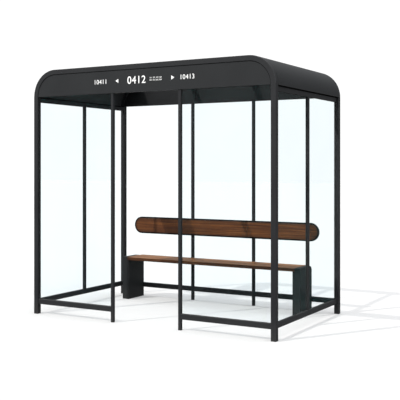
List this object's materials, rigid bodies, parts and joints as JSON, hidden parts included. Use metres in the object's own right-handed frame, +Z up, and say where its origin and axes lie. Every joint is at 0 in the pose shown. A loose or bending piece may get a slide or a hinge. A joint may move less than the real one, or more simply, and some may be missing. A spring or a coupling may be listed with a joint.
{
  "type": "bus shelter",
  "caption": "Free-standing glazed bus shelter with rounded portal frames, fascias, coved roof edges, a glass roof, an open doorway bay and a timber bench with a backrest.",
  "frame": {"origin": "centre of the plan, on the ground", "axes": "+X along the front, towards the right end seen from the street; +Y to the rear wall; +Z up"},
  "size_m": [2.7, 1.55, 2.46],
  "materials": {
    "frame_steel": "satin charcoal powder coat",
    "cladding": "satin charcoal powder coat on folded sheet",
    "furniture_steel": "satin charcoal powder coat",
    "timber": "oiled walnut brown",
    "glass": "clear toughened glass with a green edge"
  },
  "bodies": {
    "root": {"backrest_board": "timber", "backrest_tray": "furniture_steel", "bench_bearers": "furniture_steel", "bench_left_leg": "furniture_steel", "bench_right_leg": "furniture_steel", "bench_seat": "timber", "front_bow": "frame_steel", "front_fascia": "cladding", "front_left_mullion": "frame_steel", "front_left_pane": "glass", "front_left_post": "frame_steel", "front_left_sill": "frame_steel", "front_right_mullion": "frame_steel", "front_right_pane": "glass", "front_right_post": "frame_steel", "front_right_sill": "frame_steel", "front_roof_ledge": "frame_steel", "left_cove": "cladding", "left_end_header": "frame_steel", "left_end_mullion": "frame_steel", "left_end_panes": "glass", "left_end_sill": "frame_steel", "left_roof_pane": "glass", "left_roof_rib": "frame_steel", "middle_roof_pane": "glass", "rear_bow": "frame_steel", "rear_fascia": "cladding", "rear_left_mullion": "frame_steel", "rear_left_pane": "glass", "rear_left_post": "frame_steel", "rear_left_sill": "frame_steel", "rear_middle_pane": "glass", "rear_middle_sill": "frame_steel", "rear_right_mullion": "frame_steel", "rear_right_pane": "glass", "rear_right_post": "frame_steel", "rear_right_sill": "frame_steel", "rear_roof_ledge": "frame_steel", "right_cove": "cladding", "right_end_header": "frame_steel", "right_end_mullion": "frame_steel", "right_end_panes": "glass", "right_end_sill": "frame_steel", "right_roof_pane": "glass", "right_roof_rib": "frame_steel"}
  },
  "joints": []
}
